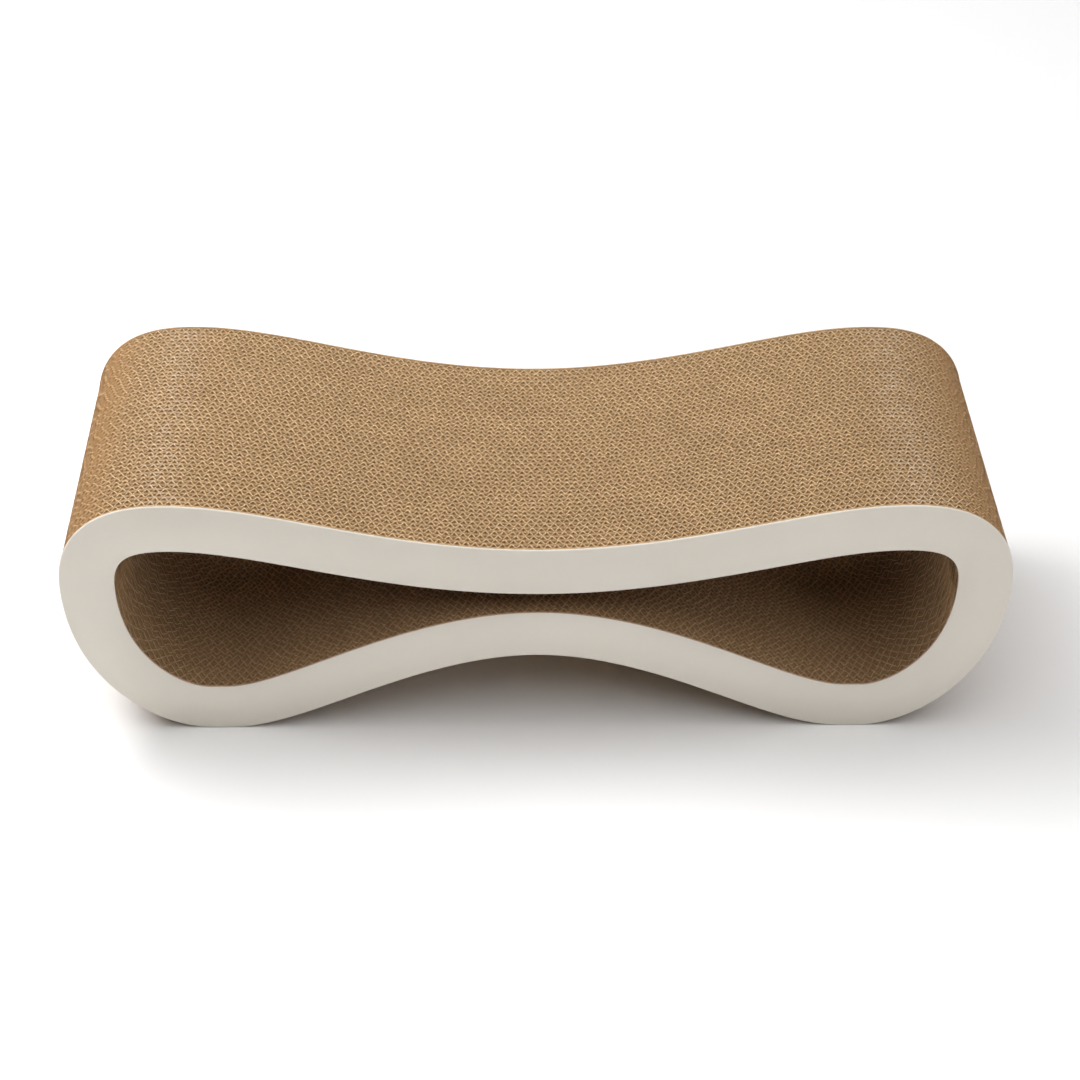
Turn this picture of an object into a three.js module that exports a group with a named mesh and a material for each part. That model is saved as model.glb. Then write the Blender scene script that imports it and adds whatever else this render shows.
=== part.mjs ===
// Figure-eight cat scratcher: a closed ring of corrugated board, die-cut ply by ply, glued into a
// block and faced on both sides with a thin white board.
// Millimetres, +Z up. X runs along the length and Y through the stack of plies, from the front
// panel to the rear one. The origin is on the floor, under the middle of the ring.

import * as THREE from 'three';

// Driving dimensions of the ring, seen from the side.
const LENGTH = 700; // over the two end loops
const HEIGHT = 207.5; // floor to the crown of a loop
const WALL = 40.3; // thickness of the ring, the same all the way round
const ARCH_HEIGHT = 70; // floor to the underside of the ring at its waist
const WAIST_GAP = 17.5; // height of the opening at its waist
const CROWN_INSET = 82; // from the end of the ring to the highest point of its loop
const NOSE_DROP = 32; // from the highest point of the opening down to its farthest
const FOOT_INSET = 110; // from the end of the ring to the middle of its foot
const FOOT_FLAT = 14; // width of the flat that each foot stands on

// How full the curves of the opening are: the share of a span's run over which the curve keeps to
// the direction that it starts or ends in.
const SEAT_FULLNESS = 0.44; // from the waist outwards, under the seat
const CROWN_INNER_FULLNESS = 0.24; // from the crown inwards
const CROWN_OUTER_FULLNESS = 0.72; // from the crown outwards
const NOSE_UPPER_FULLNESS = 0.79; // from the nose upwards
const NOSE_LOWER_FULLNESS = 0.74; // from the nose downwards
const FOOT_OUTER_FULLNESS = 0.28; // from the foot outwards
const FOOT_INNER_FULLNESS = 0.19; // from the foot inwards
const ARCH_FULLNESS = 0.43; // from the waist outwards, over the arch

// Driving dimensions of the stack.
const WIDTH = 246.8; // over the two side panels
const PANEL_THICKNESS = 2.5; // white-faced solid board on each side
const BOARD_THICKNESS = 4.95; // of a sheet of single-wall corrugated board, before pressing
const GLUE_LINE = 0.3; // between any two neighbours in the stack

// How finely the curves are cut into straight steps.
const PANEL_CHORD_ERROR = 0.2; // most that a step may lie off the curve on a side panel
const PLY_CHORD_ERROR = 1.4; // and on a ply
const CURVE_SAMPLES = 64; // per span, to find where it bends

// The core takes as many plies as fit between the panels, and is pressed to fill the width.
const CORE_WIDTH = WIDTH - 2 * PANEL_THICKNESS - GLUE_LINE;
const PLY_COUNT = Math.round(CORE_WIDTH / (BOARD_THICKNESS + GLUE_LINE));
const PLY_PITCH = CORE_WIDTH / PLY_COUNT;
const PLY_THICKNESS = PLY_PITCH - GLUE_LINE;

const boardMaterial = new THREE.MeshStandardMaterial({
  name: 'kraft_corrugated_board',
  color: new THREE.Color().setRGB(0.72, 0.57, 0.4, THREE.SRGBColorSpace),
  roughness: 0.9,
  metalness: 0,
});
const panelMaterial = new THREE.MeshStandardMaterial({
  name: 'white_faced_board',
  color: new THREE.Color().setRGB(0.83, 0.81, 0.76, THREE.SRGBColorSpace),
  roughness: 0.6,
  metalness: 0,
});

const point = (x, z) => new THREE.Vector2(x, z);

// The right-hand half of the opening, clockwise from the waist under the seat to the waist over the
// arch. Each curved span leaves and meets its turning points level or upright.
function halfOpening() {
  const noseX = LENGTH / 2 - WALL;
  const crownX = LENGTH / 2 - CROWN_INSET;
  const footX = LENGTH / 2 - FOOT_INSET;
  const ceiling = HEIGHT - WALL;

  const seat = point(0, ARCH_HEIGHT + WALL + WAIST_GAP);
  const crown = point(crownX, ceiling);
  const nose = point(noseX, ceiling - NOSE_DROP);
  const footOuter = point(footX + FOOT_FLAT / 2, WALL);
  const footInner = point(footX - FOOT_FLAT / 2, WALL);
  const arch = point(0, ARCH_HEIGHT + WALL);

  return [
    levelToLevel(seat, SEAT_FULLNESS, CROWN_INNER_FULLNESS, crown),
    levelToUpright(crown, CROWN_OUTER_FULLNESS, NOSE_UPPER_FULLNESS, nose),
    uprightToLevel(nose, NOSE_LOWER_FULLNESS, FOOT_OUTER_FULLNESS, footOuter),
    new THREE.LineCurve(footOuter, footInner),
    levelToLevel(footInner, FOOT_INNER_FULLNESS, ARCH_FULLNESS, arch),
  ];
}

// Curved spans between two turning points, with the fullness at their start and at their end.
function levelToLevel(start, startFullness, endFullness, end) {
  const run = end.x - start.x;
  const leaving = point(start.x + startFullness * run, start.y);
  const meeting = point(end.x - endFullness * run, end.y);
  return new THREE.CubicBezierCurve(start, leaving, meeting, end);
}

function levelToUpright(start, startFullness, endFullness, end) {
  const leaving = point(start.x + startFullness * (end.x - start.x), start.y);
  const meeting = point(end.x, end.y - endFullness * (end.y - start.y));
  return new THREE.CubicBezierCurve(start, leaving, meeting, end);
}

function uprightToLevel(start, startFullness, endFullness, end) {
  const leaving = point(start.x, start.y + startFullness * (end.y - start.y));
  const meeting = point(end.x - endFullness * (end.x - start.x), end.y);
  return new THREE.CubicBezierCurve(start, leaving, meeting, end);
}

// The point at parameter t of a span of the opening, moved square to the span into the board.
function pointOutside(curve, t, distance) {
  const tangent = curve.getTangent(t);
  const outward = point(-tangent.y, tangent.x);
  return curve.getPoint(t).addScaledVector(outward, distance);
}

// Parameters along a span, closer together where it bends more, so that straight steps between them
// keep within the chord error at the given distance outside the opening. A step of length c round a
// radius r lies c * c / (8 * r) off the curve.
function stepParameters(curve, distance, chordError) {
  const bend = [0];
  for (let sample = 0; sample < CURVE_SAMPLES; sample++) {
    const [start, end] = [sample / CURVE_SAMPLES, (sample + 1) / CURVE_SAMPLES];
    const length = pointOutside(curve, start, distance).distanceTo(pointOutside(curve, end, distance));
    const turn = curve.getTangent(start).angleTo(curve.getTangent(end));
    bend.push(bend[sample] + Math.sqrt(length * turn));
  }
  const totalBend = bend[CURVE_SAMPLES];
  const steps = Math.max(1, Math.ceil(totalBend / Math.sqrt(8 * chordError)));

  const parameters = [0];
  for (let step = 1; step < steps; step++) {
    const wanted = (step / steps) * totalBend;
    const after = bend.findIndex((value) => value >= wanted);
    const part = (wanted - bend[after - 1]) / (bend[after] - bend[after - 1]);
    parameters.push((after - 1 + part) / CURVE_SAMPLES);
  }
  return parameters;
}

// Points round the whole ring at a given distance outside the opening, clockwise from the waist
// under the seat.
function ringPoints(distance, chordError) {
  const half = halfOpening().flatMap((curve) =>
    stepParameters(curve, distance, chordError).map((t) => pointOutside(curve, t, distance)),
  );
  half.push(point(0, ARCH_HEIGHT + WALL - distance));
  const mirrored = half.slice(1, -1).reverse().map(({ x, y }) => point(-x, y));
  return [...half, ...mirrored];
}

// One flat ring of the stack, as thick as its board: the outline, with its bow-tie opening run the
// other way round.
function ringGeometry(thickness, chordError) {
  const shape = new THREE.Shape(ringPoints(WALL, chordError));
  shape.holes.push(new THREE.Path(ringPoints(0, chordError).reverse()));
  return new THREE.ExtrudeGeometry(shape, { depth: thickness, bevelEnabled: false, steps: 1 });
}

// A ring standing upright in the stack, with its front face at the given Y.
function standingRing(name, geometry, thickness, frontY, material) {
  const ring = new THREE.Mesh(geometry, material);
  ring.name = name;
  ring.rotation.x = Math.PI / 2;
  ring.position.y = frontY + thickness;
  return ring;
}

// The two white side panels, which close the stack at the front and the rear.
function addPanels(scratcher) {
  const geometry = ringGeometry(PANEL_THICKNESS, PANEL_CHORD_ERROR);
  const panel = (name, frontY) => standingRing(name, geometry, PANEL_THICKNESS, frontY, panelMaterial);
  scratcher.add(panel('front_side_panel', -WIDTH / 2));
  scratcher.add(panel('rear_side_panel', WIDTH / 2 - PANEL_THICKNESS));
}

// The corrugated plies between the panels, numbered from the front.
function addPlies(scratcher) {
  const geometry = ringGeometry(PLY_THICKNESS, PLY_CHORD_ERROR);
  const firstY = -WIDTH / 2 + PANEL_THICKNESS + GLUE_LINE;
  for (let index = 0; index < PLY_COUNT; index++) {
    const name = `corrugated_ply_${String(index + 1).padStart(2, '0')}`;
    const frontY = firstY + index * PLY_PITCH;
    scratcher.add(standingRing(name, geometry, PLY_THICKNESS, frontY, boardMaterial));
  }
}

const scratcher = new THREE.Group();
scratcher.name = 'figure_eight_cat_scratcher';
addPanels(scratcher);
addPlies(scratcher);

export default scratcher;
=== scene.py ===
"""Dresses the figure-eight cat scratcher: every ply as real corrugated board, with its two liners, the
fluted sheet between them and the glue behind it, and the two white side panels. Metres, in the frame of
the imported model.
"""

import math

import bpy
import numpy as np
from mathutils import Matrix, Vector


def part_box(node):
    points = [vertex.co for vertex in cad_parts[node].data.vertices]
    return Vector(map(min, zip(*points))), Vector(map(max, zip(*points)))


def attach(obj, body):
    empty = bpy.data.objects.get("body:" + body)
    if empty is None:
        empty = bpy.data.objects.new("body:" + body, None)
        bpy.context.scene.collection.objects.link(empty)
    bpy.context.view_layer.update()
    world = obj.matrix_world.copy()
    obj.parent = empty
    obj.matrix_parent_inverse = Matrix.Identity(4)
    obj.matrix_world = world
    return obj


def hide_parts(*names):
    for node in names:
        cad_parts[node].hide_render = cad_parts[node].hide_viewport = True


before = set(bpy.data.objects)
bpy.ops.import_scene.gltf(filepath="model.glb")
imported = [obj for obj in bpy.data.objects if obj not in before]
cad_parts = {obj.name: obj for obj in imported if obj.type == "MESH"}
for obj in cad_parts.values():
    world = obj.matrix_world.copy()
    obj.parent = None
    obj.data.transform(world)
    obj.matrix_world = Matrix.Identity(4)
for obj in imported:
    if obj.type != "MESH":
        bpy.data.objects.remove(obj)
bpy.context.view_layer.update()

MM = 0.001
SEED = 8


def grey(level):
    return (level, level, level)


# The ring seen from the side, as in the part: the opening's turning points and fullness, and the wall.
LENGTH = 700 * MM  # over the two end loops
HEIGHT = 207.5 * MM  # floor to the crown of a loop
WALL = 40.3 * MM  # thickness of the ring, the same all the way round
ARCH_HEIGHT = 70 * MM  # floor to the underside of the ring at its waist
WAIST_GAP = 17.5 * MM  # height of the opening at its waist
CROWN_INSET = 82 * MM  # from the end of the ring to the highest point of its loop
NOSE_DROP = 32 * MM  # from the highest point of the opening down to its farthest
FOOT_INSET = 110 * MM  # from the end of the ring to the middle of its foot
FOOT_FLAT = 14 * MM  # width of the flat that each foot stands on
SEAT_FULLNESS = 0.44
CROWN_INNER_FULLNESS = 0.24
CROWN_OUTER_FULLNESS = 0.72
NOSE_UPPER_FULLNESS = 0.79
NOSE_LOWER_FULLNESS = 0.74
FOOT_OUTER_FULLNESS = 0.28
FOOT_INNER_FULLNESS = 0.19
ARCH_FULLNESS = 0.43
HEIGHT_STEPS = 400  # per span of the outline, where heights are read from it

# Corrugated board: two flat liners, a fluted sheet between them and a line of glue behind.
LINER_THICKNESS = 0.9 * MM
LINER_INSET = 0.7 * MM  # of the liners' cut edges, behind the outline
LINER_STEPS = 44  # per span of the outline
GLUE_THICKNESS = 0.29 * MM  # a hair less than the gap between two plies
GLUE_INSET = 3.0 * MM  # of the glue, behind the outline
FLUTE_PITCH = 6.6 * MM  # from crest to crest
FLUTE_STEPS = 10  # per flute
FLUTE_SHARPNESS = 0.995  # near 0 a sine, at 1 a zigzag
SHORTEST_STRIP = 4  # stations
SHEET_THICKNESS = 1.2 * MM  # of the fluted sheet, measured through the stack
CREST_THICKNESS = 0.5 * MM  # what is left of it where a crest is pressed flat
PHASE_WANDER = 1.2  # radians that the flutes drift from an even pitch, at most
WANDER_LENGTH = 30 * MM
FRAY = 0.3  # share by which the sheet's thickness varies
FRAY_LENGTH = 1.0 * MM
CUT_INSET = 0.45 * MM  # of the fluted sheet's cut edges, behind the outline
CUT_RAGGEDNESS = 0.16 * MM

# Side panels.
PANEL_DEPTH = 2.5 * MM
PANEL_STEPS = 90  # per span of the outline
PANEL_OUTER_BEVEL = 0.9 * MM
PANEL_INNER_BEVEL = 0.6 * MM
PANEL_GLUED_BEVEL = 0.2 * MM

# Kraft paper: dark, middle and light shades, of each surface that it shows.
# The faces are kraft made darker in part as painted shade: they stand in for the shade deep in the flute
# holes.
KRAFT_FACE_PAINTED_SHADE = ((0.258, 0.147, 0.063), (0.331, 0.197, 0.09), (0.404, 0.255, 0.128))
KRAFT_CUT = ((0.51, 0.341, 0.173), (0.671, 0.457, 0.24), (0.832, 0.603, 0.35))
KRAFT_LINER_CUT = ((0.315, 0.204, 0.101), (0.404, 0.265, 0.135), (0.495, 0.338, 0.187))
# Inside the opening the cuts are the same kraft, made darker as painted shade for the inside of the opening.
KRAFT_INNER_CUT_PAINTED_SHADE = ((0.432, 0.285, 0.171), (0.583, 0.389, 0.238), (0.734, 0.502, 0.326))
KRAFT_PANEL_CUT = ((0.3, 0.195, 0.105), (0.43, 0.287, 0.16), (0.57, 0.4, 0.235))
KRAFT_FACE_ROUGHNESS = 0.8
KRAFT_CUT_ROUGHNESS = 0.85
KRAFT_ROUGHNESS_SPREAD = 0.08
KRAFT_SPECULAR = 0.3
KRAFT_BUMP = 0.5
KRAFT_BUMP_DEPTH = 0.15 * MM

# Its fibres, its wide blotches and its small patches: noise cells per metre, and shades along the noise.
FIBRE_SCALE = (900, 900, 420)
FIBRE_STOPS = (0.36, 0.5, 0.64)
BLOTCH_SCALE = (25, 40, 25)
BLOTCH_STOPS = ((0.3, (0.93, 0.92, 0.91)), (0.7, grey(1.05)))
PATCH_SCALE = (300, 300, 300)
PATCH_STOPS = ((0.35, grey(0.92)), (0.65, grey(1.08)))

# Painted glints: specks of highlight scattered over the outer cuts, laid into the colour.
PAINTED_HIGHLIGHT_COLOUR = (0.82, 0.71, 0.58)
PAINTED_GLINT_SCALE = (420, 420, 420)
PAINTED_GLINT_RANGE = (0.64, 0.72)  # of the noise
PAINTED_GLINT_STRENGTH = 0.55

# Painted sheen on the crowns, in the same colour: a highlight laid into the colour of the cut edges.
PAINTED_SHEEN_FROM = 250 * MM  # from the middle of the length
PAINTED_SHEEN_TO = 302 * MM
PAINTED_SHEEN_LOW = HEIGHT - WALL  # where it starts to show, above the floor
PAINTED_SHEEN_HIGH = HEIGHT - WALL / 4  # where it is full
PAINTED_SHEEN_STOPS = ((0.0, grey(0.0)), (0.5, grey(1.0)), (1.0, grey(0.0)))
PAINTED_SHEEN_SCALE = (260, 130, 260)
PAINTED_SHEEN_RANGE = (0.42, 0.66)  # of the noise
PAINTED_SHEEN_STRENGTH = 0.45

# The ends, where the cut runs along the flutes: where they start, and are reached, from the middle.
NOSE_FROM = 304 * MM
NOSE_TO = 330 * MM
NOSE_COLOUR = (0.445, 0.256, 0.111)
NOSE_STRENGTH = 0.8

# White paper on the panels: dark and light shades, roughness and grain of its face and of its bevels.
WHITE_FACE = ((0.765, 0.71, 0.628), (0.80, 0.745, 0.663))
WHITE_FACE_ROUGHNESS = 0.5
WHITE_FACE_GRAIN = 0.25
# The bevels' paper is lighter than the face: a painted highlight for the bright line along the panels' edges.
WHITE_BEVEL_PAINTED_HIGHLIGHT = ((0.8, 0.745, 0.665), (0.86, 0.805, 0.725))
WHITE_BEVEL_ROUGHNESS = 0.7
WHITE_BEVEL_GRAIN = 0.5
WHITE_ROUGHNESS_BELOW = 0.05
WHITE_ROUGHNESS_ABOVE = 0.07
WHITE_SPECULAR = 0.35
WHITE_BUMP_DEPTH = 0.06 * MM
MOTTLE_SCALE = (9, 9, 9)
MOTTLE_STOPS = (0.3, 0.7)
PORE_SCALE = (1800, 1800, 1800)
PORE_STOPS = ((0.25, (0.95, 0.945, 0.935)), (0.6, grey(1.0)))

NOISE_LOW = 0.3  # most of any noise lies between these two
NOISE_HIGH = 0.7

# The studio: sizes in metres, powers in watts.
FLOOR_FLAT = 20.0  # from the middle, over which the floor is level
FLOOR_REACH = 48.0
FLOOR_RISE = 2.2  # of its far edge, which hides the dark beyond it
FLOOR_RINGS = 10
FLOOR_SIDES = 96
FLOOR_COLOUR = 0.96
FLOOR_ROUGHNESS = 0.9
FLOOR_SPECULAR = 0.1
WORLD_STRENGTH = 0.06
CEILING_HEIGHT = 14.0
CEILING_SIZE = 28.0
CEILING_POWER = 2890
FAR_CEILING_OFFSET = 21.5
FAR_CEILING_SIZE = 34.0
FAR_CEILING_POWER = 2800
FAR_CEILING_SPREAD = math.radians(32)  # too narrow to reach the object
LAMP_TARGET = (0, 0, 0.1)

# The camera, fitted to the photograph.
CAMERA_PLACE = (-45.88 * MM, -1562.05 * MM, 1238.6 * MM)
CAMERA_PITCH = math.radians(36.394)
CAMERA_YAW = math.radians(-1.858)
CAMERA_ROLL = math.radians(0.989)
CAMERA_LENS = 82.343
CAMERA_SENSOR = 36.0
CAMERA_CLIP_END = 60


# The outline of the ring.

def bezier(start, leaving, meeting, end, t):
    """Points and unit tangents of a cubic span at the parameters t."""
    start, leaving, meeting, end = (np.array(p, float) for p in (start, leaving, meeting, end))
    t = t[:, None]
    s = 1 - t
    points = s**3 * start + 3 * s**2 * t * leaving + 3 * s * t**2 * meeting + t**3 * end
    slope = 3 * s**2 * (leaving - start) + 6 * s * t * (meeting - leaving) + 3 * t**2 * (end - meeting)
    return points, slope / np.linalg.norm(slope, axis=1, keepdims=True)


def half_opening(steps):
    """Points on the right-hand half of the opening, as (x, z), from the waist under the seat round to
    the waist over the arch, and the directions square to it into the board."""
    nose_x = LENGTH / 2 - WALL
    crown_x = LENGTH / 2 - CROWN_INSET
    foot_x = LENGTH / 2 - FOOT_INSET
    ceiling = HEIGHT - WALL
    nose_z = ceiling - NOSE_DROP
    seat_z = ARCH_HEIGHT + WALL + WAIST_GAP
    arch_z = ARCH_HEIGHT + WALL
    foot_outer_x = foot_x + FOOT_FLAT / 2
    foot_inner_x = foot_x - FOOT_FLAT / 2
    spans = [
        [(0, seat_z), (SEAT_FULLNESS * crown_x, seat_z),
         (crown_x - CROWN_INNER_FULLNESS * crown_x, ceiling), (crown_x, ceiling)],
        [(crown_x, ceiling), (crown_x + CROWN_OUTER_FULLNESS * (nose_x - crown_x), ceiling),
         (nose_x, nose_z + NOSE_UPPER_FULLNESS * NOSE_DROP), (nose_x, nose_z)],
        [(nose_x, nose_z), (nose_x, nose_z - NOSE_LOWER_FULLNESS * (nose_z - WALL)),
         (foot_outer_x + FOOT_OUTER_FULLNESS * (nose_x - foot_outer_x), WALL), (foot_outer_x, WALL)],
        [(foot_inner_x, WALL), (foot_inner_x - FOOT_INNER_FULLNESS * foot_inner_x, WALL),
         (ARCH_FULLNESS * foot_inner_x, arch_z), (0, arch_z)],
    ]
    t = np.linspace(0, 1, steps + 1)
    points = []
    outward = []
    for index, span in enumerate(spans):
        # Crown and nose belong to two spans, and are kept once. The foot's flat lies between two.
        kept = t[1:] if index in (1, 2) else t
        span_points, tangents = bezier(*span, kept)
        points.append(span_points)
        outward.append(np.stack([-tangents[:, 1], tangents[:, 0]], axis=1))
    return np.concatenate(points), np.concatenate(outward)


def ring_stations(steps):
    """Points right round the opening, clockwise from the waist under the seat, and their directions
    into the board."""
    points, outward = half_opening(steps)
    mirror = np.array([-1, 1])
    points = np.concatenate([points, points[-2:0:-1] * mirror])
    outward = np.concatenate([outward, outward[-2:0:-1] * mirror])
    return points, outward


class RingHeights:
    """The heights of the ring's outer and inner outlines at any x, both drawn back into the board."""

    def __init__(self, inset):
        points, outward = half_opening(HEIGHT_STEPS)
        nose = int(np.argmax(points[:, 0]))
        self.outer = self.chains(points + outward * (WALL - inset), nose)
        self.inner = self.chains(points + outward * inset, nose)
        self.outer_reach = self.outer[0][-1, 0]
        self.inner_reach = self.inner[0][-1, 0]

    @staticmethod
    def chains(points, nose):
        """The points over the nose and those under it, both outwards from the waist."""
        return points[: nose + 1], points[nose:][::-1]

    @staticmethod
    def height(chain, x):
        return np.interp(np.abs(x), chain[:, 0], chain[:, 1])

    def top(self, x):
        return self.height(self.outer[0], x)

    def bottom(self, x):
        return self.height(self.outer[1], x)

    def ceiling(self, x):
        return self.height(self.inner[0], x)

    def floor(self, x):
        return self.height(self.inner[1], x)


# Meshes.

class MeshParts:
    """Closed quad bodies gathered into one mesh."""

    def __init__(self):
        self.vertices = []
        self.quads = []
        self.materials = []
        self.count = 0

    def add(self, vertices, quads, materials):
        self.vertices.append(vertices)
        self.quads.append(quads + self.count)
        self.materials.append(materials)
        self.count += len(vertices)

    def make(self, name, materials):
        vertices = np.concatenate(self.vertices).astype(np.float32)
        quads = np.concatenate(self.quads).astype(np.int32)
        mesh = bpy.data.meshes.new(name)
        mesh.vertices.add(len(vertices))
        mesh.vertices.foreach_set("co", vertices.ravel())
        mesh.loops.add(quads.size)
        mesh.loops.foreach_set("vertex_index", quads.ravel())
        mesh.polygons.add(len(quads))
        mesh.polygons.foreach_set("loop_start", np.arange(0, quads.size, 4, dtype=np.int32))
        for material in materials:
            mesh.materials.append(material)
        mesh.polygons.foreach_set("material_index", np.concatenate(self.materials).astype(np.int32))
        mesh.update(calc_edges=True)
        mesh.validate()
        piece = bpy.data.objects.new(name, mesh)
        bpy.context.scene.collection.objects.link(piece)
        return piece


# Places of the materials in the mesh of a ply and in that of a panel.
# FACE holds the faces' kraft, darkened in part as painted shade.
FACE, CUT, LINER_CUT, INNER_CUT = range(4)
PAPER, PAPER_BEVEL, BOARD_CUT, BOARD_INNER_CUT = range(4)


def sheet_strip(parts, x, front, back, low, high, low_side, high_side):
    """An upright sheet between the given front and back along x, from low to high, closed all round.
    low_side and high_side are the materials of its cut edges."""
    stations = np.stack([
        np.stack([x, front, low], axis=1),
        np.stack([x, back, low], axis=1),
        np.stack([x, back, high], axis=1),
        np.stack([x, front, high], axis=1),
    ], axis=1)
    here = 4 * np.arange(len(x) - 1)[:, None]
    there = here + 4
    quads = []
    materials = []
    for corner, side in enumerate((low_side, FACE, high_side, FACE)):
        after = (corner + 1) % 4
        quads.append(np.concatenate([here + corner, here + after, there + after, there + corner], axis=1))
        materials.append(np.full(len(here), side))
    last = 4 * (len(x) - 1)
    quads.append(np.array([[0, 3, 2, 1], [last, last + 1, last + 2, last + 3]]))
    materials.append(np.full(2, CUT))
    parts.add(stations.reshape(-1, 3), np.concatenate(quads), np.concatenate(materials))


def ring_body(parts, section, steps, sides):
    """A closed ring with the given section: (distance outside the opening, y) pairs, in order round it.
    sides has the material of each of the section's sides."""
    points, outward = ring_stations(steps)
    stations = []
    for distance, y in section:
        flat = points + outward * distance
        stations.append(np.stack([flat[:, 0], np.full(len(flat), y), flat[:, 1]], axis=1))
    count = len(section)
    here = count * np.arange(len(points))[:, None]
    there = np.roll(here, -1, axis=0)
    quads = []
    materials = []
    for side in range(count):
        after = (side + 1) % count
        quads.append(np.concatenate([here + side, there + side, there + after, here + after], axis=1))
        materials.append(np.full(len(points), sides[side]))
    vertices = np.stack(stations, axis=1).reshape(-1, 3)
    parts.add(vertices, np.concatenate(quads), np.concatenate(materials))


# Materials.

class Nodes:
    """A material's node tree, with short ways to add and join nodes."""

    # Places of the colour sockets on a Mix node.
    MIX_FIRST = 6
    MIX_SECOND = 7
    MIX_RESULT = 2

    def __init__(self, name):
        self.material = bpy.data.materials.new(name)
        self.material.use_nodes = True
        self.tree = self.material.node_tree
        self.shader = self.tree.nodes["Principled BSDF"]
        self.place = self.add("ShaderNodeTexCoord").outputs["Object"]

    def add(self, kind, **settings):
        node = self.tree.nodes.new(kind)
        for key, value in settings.items():
            setattr(node, key, value)
        return node

    def join(self, output, socket):
        self.tree.links.new(output, socket)

    def stretched(self, scale):
        """The place on the object, in units of 1 / scale metres along each axis."""
        mapping = self.add("ShaderNodeMapping")
        mapping.inputs["Scale"].default_value = scale
        self.join(self.place, mapping.inputs["Vector"])
        return mapping.outputs["Vector"]

    def noise(self, scale, detail=3.0, roughness=0.6):
        node = self.add("ShaderNodeTexNoise")
        node.inputs["Scale"].default_value = 1.0
        node.inputs["Detail"].default_value = detail
        node.inputs["Roughness"].default_value = roughness
        self.join(self.stretched(scale), node.inputs["Vector"])
        return node.outputs["Fac"]

    def ramp(self, value, stops):
        """Colours along a value, from (position, colour) stops."""
        node = self.add("ShaderNodeValToRGB")
        elements = node.color_ramp.elements
        while len(elements) < len(stops):
            elements.new(0.5)
        for element, (position, colour) in zip(elements, stops):
            element.position = position
            element.color = (*colour, 1.0)
        self.join(value, node.inputs["Fac"])
        return node.outputs["Color"]

    def multiply(self, first, second):
        node = self.add("ShaderNodeMix", data_type="RGBA", blend_type="MULTIPLY")
        node.inputs["Factor"].default_value = 1.0
        self.join(first, node.inputs[self.MIX_FIRST])
        self.join(second, node.inputs[self.MIX_SECOND])
        return node.outputs[self.MIX_RESULT]

    def cover(self, mask, below, colour):
        """A plain colour laid over what is below it, as strongly as the mask says."""
        node = self.add("ShaderNodeMix", data_type="RGBA", blend_type="MIX")
        self.join(mask, node.inputs["Factor"])
        self.join(below, node.inputs[self.MIX_FIRST])
        node.inputs[self.MIX_SECOND].default_value = (*colour, 1.0)
        return node.outputs[self.MIX_RESULT]

    def remap(self, value, low, high, to_low, to_high):
        node = self.add("ShaderNodeMapRange")
        for socket, number in zip(("From Min", "From Max", "To Min", "To Max"), (low, high, to_low, to_high)):
            node.inputs[socket].default_value = number
        self.join(value, node.inputs["Value"])
        return node.outputs["Result"]

    def times(self, first, second):
        node = self.add("ShaderNodeMath", operation="MULTIPLY")
        self.join(first, node.inputs[0])
        self.join(second, node.inputs[1])
        return node.outputs[0]

    def bump(self, height, strength, distance):
        node = self.add("ShaderNodeBump")
        node.inputs["Strength"].default_value = strength
        node.inputs["Distance"].default_value = distance
        self.join(height, node.inputs["Height"])
        self.join(node.outputs["Normal"], self.shader.inputs["Normal"])

    def set(self, **values):
        for name, value in values.items():
            self.shader.inputs[name.replace("_", " ")].default_value = value


def from_middle(nodes, axes):
    """How far a place is from the middle of the length."""
    node = nodes.add("ShaderNodeMath", operation="ABSOLUTE")
    nodes.join(axes.outputs["X"], node.inputs[0])
    return node.outputs[0]


def painted_sheen_mask(nodes, axes):
    """Strongest on the crowns of the two loops, where a painted sheen lightens the cut edges, and patchy."""
    band = nodes.ramp(nodes.remap(from_middle(nodes, axes), PAINTED_SHEEN_FROM, PAINTED_SHEEN_TO, 0.0, 1.0), PAINTED_SHEEN_STOPS)
    on_top = nodes.remap(axes.outputs["Z"], PAINTED_SHEEN_LOW, PAINTED_SHEEN_HIGH, 0.0, 1.0)
    patches = nodes.remap(nodes.noise(PAINTED_SHEEN_SCALE, detail=4.0), *PAINTED_SHEEN_RANGE, 0.0, PAINTED_SHEEN_STRENGTH)
    return nodes.times(nodes.times(band, on_top), patches)


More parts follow.
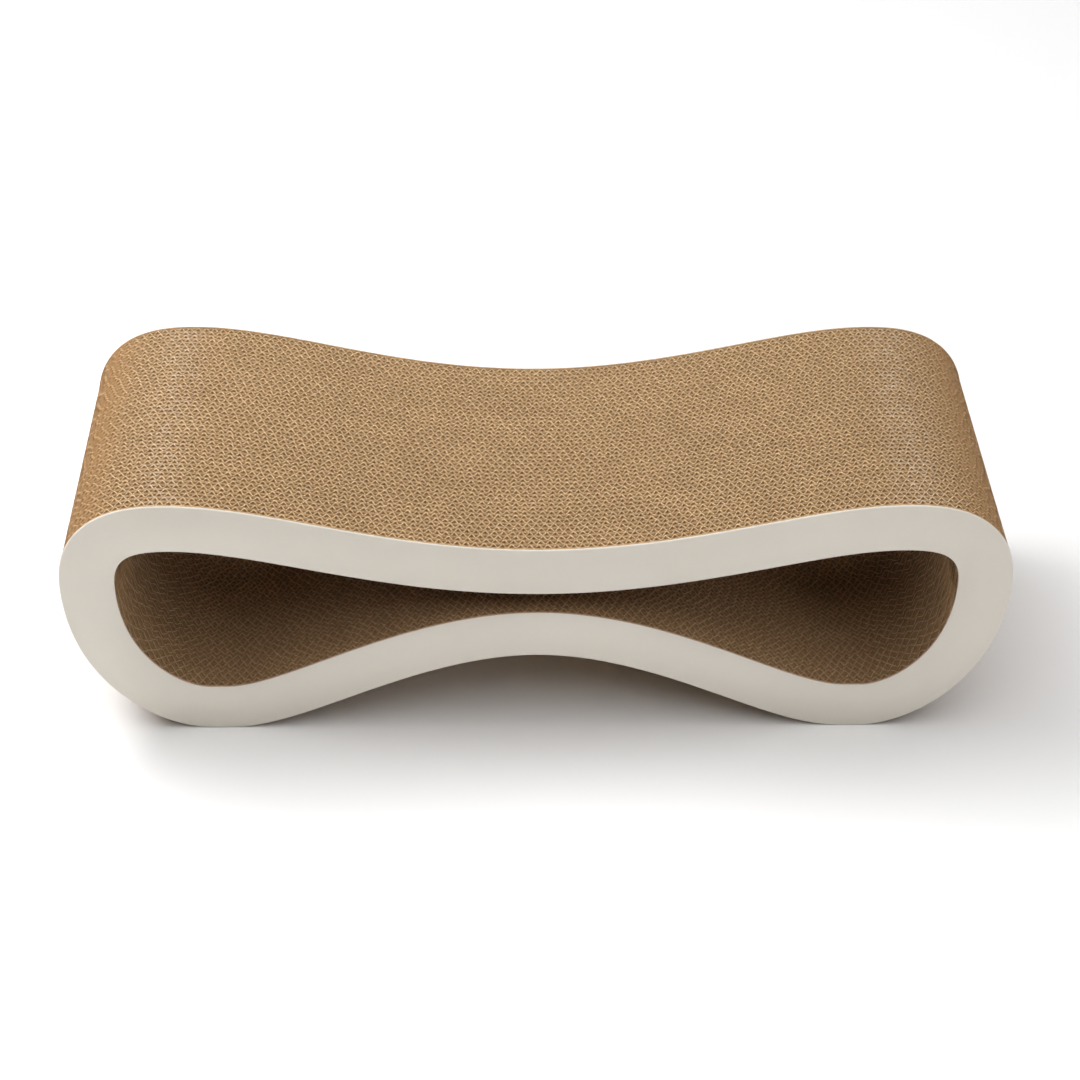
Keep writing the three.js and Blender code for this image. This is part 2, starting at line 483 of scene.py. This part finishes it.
def kraft(name, shades, roughness, with_painted_highlights=False):
    """Brown kraft paper: fibres, blotches and patches, with a plainer colour at the ends. With painted
    highlights, it also has painted glints scattered over it, and a painted sheen on the crowns."""
    nodes = Nodes(name)
    fibres = nodes.noise(FIBRE_SCALE, detail=4.0)
    colour = nodes.ramp(fibres, list(zip(FIBRE_STOPS, shades)))
    colour = nodes.multiply(colour, nodes.ramp(nodes.noise(BLOTCH_SCALE), BLOTCH_STOPS))
    colour = nodes.multiply(colour, nodes.ramp(nodes.noise(PATCH_SCALE, detail=1.0), PATCH_STOPS))
    axes = nodes.add("ShaderNodeSeparateXYZ")
    nodes.join(nodes.place, axes.inputs["Vector"])
    nose = nodes.remap(from_middle(nodes, axes), NOSE_FROM, NOSE_TO, 0.0, NOSE_STRENGTH)
    colour = nodes.cover(nose, colour, NOSE_COLOUR)
    if with_painted_highlights:
        # Painted highlights: glints scattered over the cuts, then a sheen on the crowns.
        painted_glints = nodes.remap(nodes.noise(PAINTED_GLINT_SCALE, detail=2.0), *PAINTED_GLINT_RANGE, 0.0, PAINTED_GLINT_STRENGTH)
        colour = nodes.cover(painted_glints, colour, PAINTED_HIGHLIGHT_COLOUR)
        # Painted sheen: a highlight on the crowns, laid into the colour.
        colour = nodes.cover(painted_sheen_mask(nodes, axes), colour, PAINTED_HIGHLIGHT_COLOUR)
    nodes.join(colour, nodes.shader.inputs["Base Color"])
    matt = nodes.remap(fibres, NOISE_LOW, NOISE_HIGH,
                       roughness - KRAFT_ROUGHNESS_SPREAD, roughness + KRAFT_ROUGHNESS_SPREAD)
    nodes.join(matt, nodes.shader.inputs["Roughness"])
    nodes.bump(fibres, KRAFT_BUMP, KRAFT_BUMP_DEPTH)
    nodes.set(Specular_IOR_Level=KRAFT_SPECULAR)
    return nodes.material


def white_paper(name, shades, roughness, grain):
    """Matt off-white paper on solid board: a faint mottle and a fine grain."""
    nodes = Nodes(name)
    mottle = nodes.noise(MOTTLE_SCALE, detail=5.0)
    colour = nodes.ramp(mottle, list(zip(MOTTLE_STOPS, shades)))
    pores = nodes.noise(PORE_SCALE)
    colour = nodes.multiply(colour, nodes.ramp(pores, PORE_STOPS))
    nodes.join(colour, nodes.shader.inputs["Base Color"])
    matt = nodes.remap(pores, NOISE_LOW, NOISE_HIGH,
                       roughness - WHITE_ROUGHNESS_BELOW, roughness + WHITE_ROUGHNESS_ABOVE)
    nodes.join(matt, nodes.shader.inputs["Roughness"])
    nodes.bump(pores, grain, WHITE_BUMP_DEPTH)
    nodes.set(Specular_IOR_Level=WHITE_SPECULAR)
    return nodes.material


# Pieces.

def flat_layer(parts, front, thickness, inset, outer_edge):
    """A flat ring of paper or glue. outer_edge is the material of its edge on the outside."""
    back = front + thickness
    section = [(inset, front), (WALL - inset, front), (WALL - inset, back), (inset, back)]
    ring_body(parts, section, LINER_STEPS, (FACE, outer_edge, FACE, FACE))


def fluted_sheet(parts, front, back, rng, heights):
    """The fluted sheet of a ply, in four strips: over the opening, under it, and one at each end."""
    middle = (front + back) / 2
    room = (back - front) / 2
    amplitude = room - CREST_THICKNESS + SHEET_THICKNESS / 2
    step = FLUTE_PITCH / FLUTE_STEPS
    phase = rng.uniform(0, 2 * math.pi)
    drift_at = np.arange(-LENGTH / 2, LENGTH / 2 + WANDER_LENGTH, WANDER_LENGTH)
    drift = rng.uniform(-PHASE_WANDER, PHASE_WANDER, len(drift_at))

    def flute(x):
        wave = np.sin(2 * math.pi * x / FLUTE_PITCH + phase + np.interp(x, drift_at, drift))
        return middle + amplitude * np.arcsin(FLUTE_SHARPNESS * wave) / math.asin(FLUTE_SHARPNESS)

    def strip(x_low, x_high, bottom, top, low_side, high_side):
        x = np.linspace(x_low, x_high, max(SHORTEST_STRIP, round((x_high - x_low) / step)))
        ragged = rng.uniform(-CUT_RAGGEDNESS, CUT_RAGGEDNESS, (2, len(x)))
        fray_at = np.arange(x_low, x_high + FRAY_LENGTH, FRAY_LENGTH)
        fray = rng.uniform(1 - FRAY, 1 + FRAY, (2, len(fray_at)))
        before, behind = (np.interp(x, fray_at, side) * SHEET_THICKNESS / 2 for side in fray)
        sheet_front = np.clip(flute(x) - before, front, back - CREST_THICKNESS)
        sheet_back = np.clip(flute(x) + behind, front + CREST_THICKNESS, back)
        sheet_strip(parts, x, sheet_front, sheet_back, bottom(x) + ragged[0], top(x) + ragged[1],
                    low_side, high_side)

    # The cut edges inside the opening take the darker kraft that stands in for the shade there.
    inner = heights.inner_reach
    outer = heights.outer_reach
    strip(-inner, inner, heights.ceiling, heights.top, INNER_CUT, CUT)
    strip(-inner, inner, heights.bottom, heights.floor, CUT, INNER_CUT)
    strip(inner, outer, heights.bottom, heights.top, CUT, CUT)
    strip(-outer, -inner, heights.bottom, heights.top, CUT, CUT)


def make_ply(node, rng, heights, materials):
    """One sheet of corrugated board, standing where its CAD node stands, with the glue line behind it."""
    low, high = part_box(node)
    front, back = low[1], high[1]
    parts = MeshParts()
    flat_layer(parts, front, LINER_THICKNESS, LINER_INSET, LINER_CUT)
    flat_layer(parts, back - LINER_THICKNESS, LINER_THICKNESS, LINER_INSET, LINER_CUT)
    flat_layer(parts, back, GLUE_THICKNESS, GLUE_INSET, FACE)
    fluted_sheet(parts, front, back, rng, heights)
    ply = parts.make(node.replace("corrugated_ply", "fluted_ply"), materials)
    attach(ply, "root")
    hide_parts(node)


def make_panel(node, faces_front, materials):
    """One side panel. Its white paper covers the visible side and that side's bevels."""
    low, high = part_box(node)
    outer, inner, glued = PANEL_OUTER_BEVEL, PANEL_INNER_BEVEL, PANEL_GLUED_BEVEL
    # The visible side first, as (distance outside the opening, depth behind the visible side).
    section = [(inner, 0), (WALL - outer, 0), (WALL, outer), (WALL, PANEL_DEPTH - glued),
               (WALL - glued, PANEL_DEPTH), (glued, PANEL_DEPTH), (0, PANEL_DEPTH - glued), (0, inner)]
    # The bevels of the visible side take the lighter paper, a painted highlight along its edges.
    sides = [PAPER, PAPER_BEVEL, BOARD_CUT, BOARD_CUT, BOARD_CUT, BOARD_CUT, BOARD_INNER_CUT, PAPER_BEVEL]
    if faces_front:
        section = [(distance, low[1] + depth) for distance, depth in section]
    else:
        # Turned round, the section runs the other way, and so do its sides. The last side stays last.
        section = [(distance, high[1] - depth) for distance, depth in reversed(section)]
        sides = sides[-2::-1] + sides[-1:]
    parts = MeshParts()
    ring_body(parts, section, PANEL_STEPS, sides)
    panel = parts.make(node.replace("side_panel", "faced_panel"), materials)
    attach(panel, "root")
    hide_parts(node)


def make_scratcher():
    kraft_face_painted_shade = kraft("kraft_paper_face_painted_shade", KRAFT_FACE_PAINTED_SHADE, KRAFT_FACE_ROUGHNESS)
    # The outer cut edges carry painted glints and a painted sheen on the crowns.
    kraft_cut = kraft("kraft_cut_edge_painted_highlights", KRAFT_CUT, KRAFT_CUT_ROUGHNESS, with_painted_highlights=True)
    kraft_liner_cut = kraft("kraft_liner_edge_painted_highlights", KRAFT_LINER_CUT, KRAFT_CUT_ROUGHNESS, with_painted_highlights=True)
    kraft_inner_cut_painted_shade = kraft("kraft_inner_edge_painted_shade", KRAFT_INNER_CUT_PAINTED_SHADE, KRAFT_CUT_ROUGHNESS)
    kraft_panel_cut = kraft("kraft_panel_edge", KRAFT_PANEL_CUT, KRAFT_CUT_ROUGHNESS)
    white_face = white_paper("white_paper_face", WHITE_FACE, WHITE_FACE_ROUGHNESS, WHITE_FACE_GRAIN)
    white_bevel_painted_highlight = white_paper("white_board_edge_painted_highlight", WHITE_BEVEL_PAINTED_HIGHLIGHT, WHITE_BEVEL_ROUGHNESS, WHITE_BEVEL_GRAIN)

    rng = np.random.default_rng(SEED)
    heights = RingHeights(CUT_INSET)
    ply_materials = [kraft_face_painted_shade, kraft_cut, kraft_liner_cut, kraft_inner_cut_painted_shade]
    for node in sorted(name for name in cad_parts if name.startswith("corrugated_ply")):
        make_ply(node, rng, heights, ply_materials)
    panel_materials = [white_face, white_bevel_painted_highlight, kraft_panel_cut, kraft_inner_cut_painted_shade]
    make_panel("front_side_panel", True, panel_materials)
    make_panel("rear_side_panel", False, panel_materials)


# Floor, light and camera.

def make_floor():
    """A level pale floor that sweeps up gently, far behind the object."""
    vertices = []
    for ring in range(FLOOR_RINGS + 1):
        share = ring / FLOOR_RINGS
        radius = FLOOR_FLAT + share * (FLOOR_REACH - FLOOR_FLAT)
        for side in range(FLOOR_SIDES):
            angle = 2 * math.pi * side / FLOOR_SIDES
            vertices.append((radius * math.cos(angle), radius * math.sin(angle), FLOOR_RISE * share**2))
    faces = [list(range(FLOOR_SIDES))]
    for ring in range(FLOOR_RINGS):
        inner = ring * FLOOR_SIDES
        outer = inner + FLOOR_SIDES
        for side in range(FLOOR_SIDES):
            after = (side + 1) % FLOOR_SIDES
            faces.append((inner + side, outer + side, outer + after, inner + after))
    mesh = bpy.data.meshes.new("floor")
    mesh.from_pydata(vertices, [], faces)
    floor = bpy.data.objects.new("floor", mesh)
    bpy.context.scene.collection.objects.link(floor)
    nodes = Nodes("pale_floor")
    nodes.set(Base_Color=(*grey(FLOOR_COLOUR), 1.0), Roughness=FLOOR_ROUGHNESS,
              Specular_IOR_Level=FLOOR_SPECULAR)
    mesh.materials.append(nodes.material)


def make_world():
    world = bpy.data.worlds.new("studio")
    world.use_nodes = True
    background = world.node_tree.nodes["Background"]
    background.inputs["Color"].default_value = (*grey(1.0), 1.0)
    background.inputs["Strength"].default_value = WORLD_STRENGTH
    bpy.context.scene.world = world


def square_light(name, place, target, size, power, spread=math.pi):
    data = bpy.data.lights.new(name, "AREA")
    data.shape = "SQUARE"
    data.size = size
    data.energy = power
    data.spread = spread
    light = bpy.data.objects.new(name, data)
    light.location = place
    light.rotation_euler = (Vector(target) - Vector(place)).to_track_quat("-Z", "Y").to_euler()
    bpy.context.scene.collection.objects.link(light)


def make_ceiling():
    """A wide soft light overhead, and eight more round it that light only the floor far away."""
    square_light("ceiling", (0, 0, CEILING_HEIGHT), (0, 0, 0), CEILING_SIZE, CEILING_POWER)
    for column in (-1, 0, 1):
        for row in (-1, 0, 1):
            if column or row:
                x = column * FAR_CEILING_OFFSET
                y = row * FAR_CEILING_OFFSET
                square_light("far_ceiling", (x, y, CEILING_HEIGHT), (x, y, 0), FAR_CEILING_SIZE,
                             FAR_CEILING_POWER, FAR_CEILING_SPREAD)


def make_lamps():
    square_light("rear_left_key", place=(-1.45, 1.2, 2.75), target=LAMP_TARGET, size=1.5, power=23.0)
    square_light("top_left_key", place=(-0.9, 0.3, 1.3), target=LAMP_TARGET, size=0.9, power=14.2)
    square_light("front_right_fill", place=(2.2, -2.2, 1.5), target=LAMP_TARGET, size=1.5, power=10.0)


def make_camera():
    yaw, pitch, roll = CAMERA_YAW, CAMERA_PITCH, CAMERA_ROLL
    right = Vector((math.cos(yaw), math.sin(yaw), 0))
    ahead = Vector((-math.sin(yaw) * math.cos(pitch), math.cos(yaw) * math.cos(pitch), -math.sin(pitch)))
    up = right.cross(ahead)
    tilted_right = math.cos(roll) * right + math.sin(roll) * up
    tilted_up = math.cos(roll) * up - math.sin(roll) * right
    data = bpy.data.cameras.new("camera")
    data.sensor_fit = "HORIZONTAL"
    data.sensor_width = CAMERA_SENSOR
    data.lens = CAMERA_LENS
    data.clip_end = CAMERA_CLIP_END
    camera = bpy.data.objects.new("camera", data)
    camera.matrix_world = Matrix((
        (tilted_right.x, tilted_up.x, -ahead.x, CAMERA_PLACE[0]),
        (tilted_right.y, tilted_up.y, -ahead.y, CAMERA_PLACE[1]),
        (tilted_right.z, tilted_up.z, -ahead.z, CAMERA_PLACE[2]),
        (0, 0, 0, 1),
    ))
    bpy.context.scene.collection.objects.link(camera)
    bpy.context.scene.camera = camera


make_scratcher()
make_floor()
make_world()
make_ceiling()
make_lamps()
make_camera()
bpy.context.scene.view_settings.view_transform = "Standard"
bpy.context.scene.view_settings.look = "None"

bpy.context.view_layer.update()
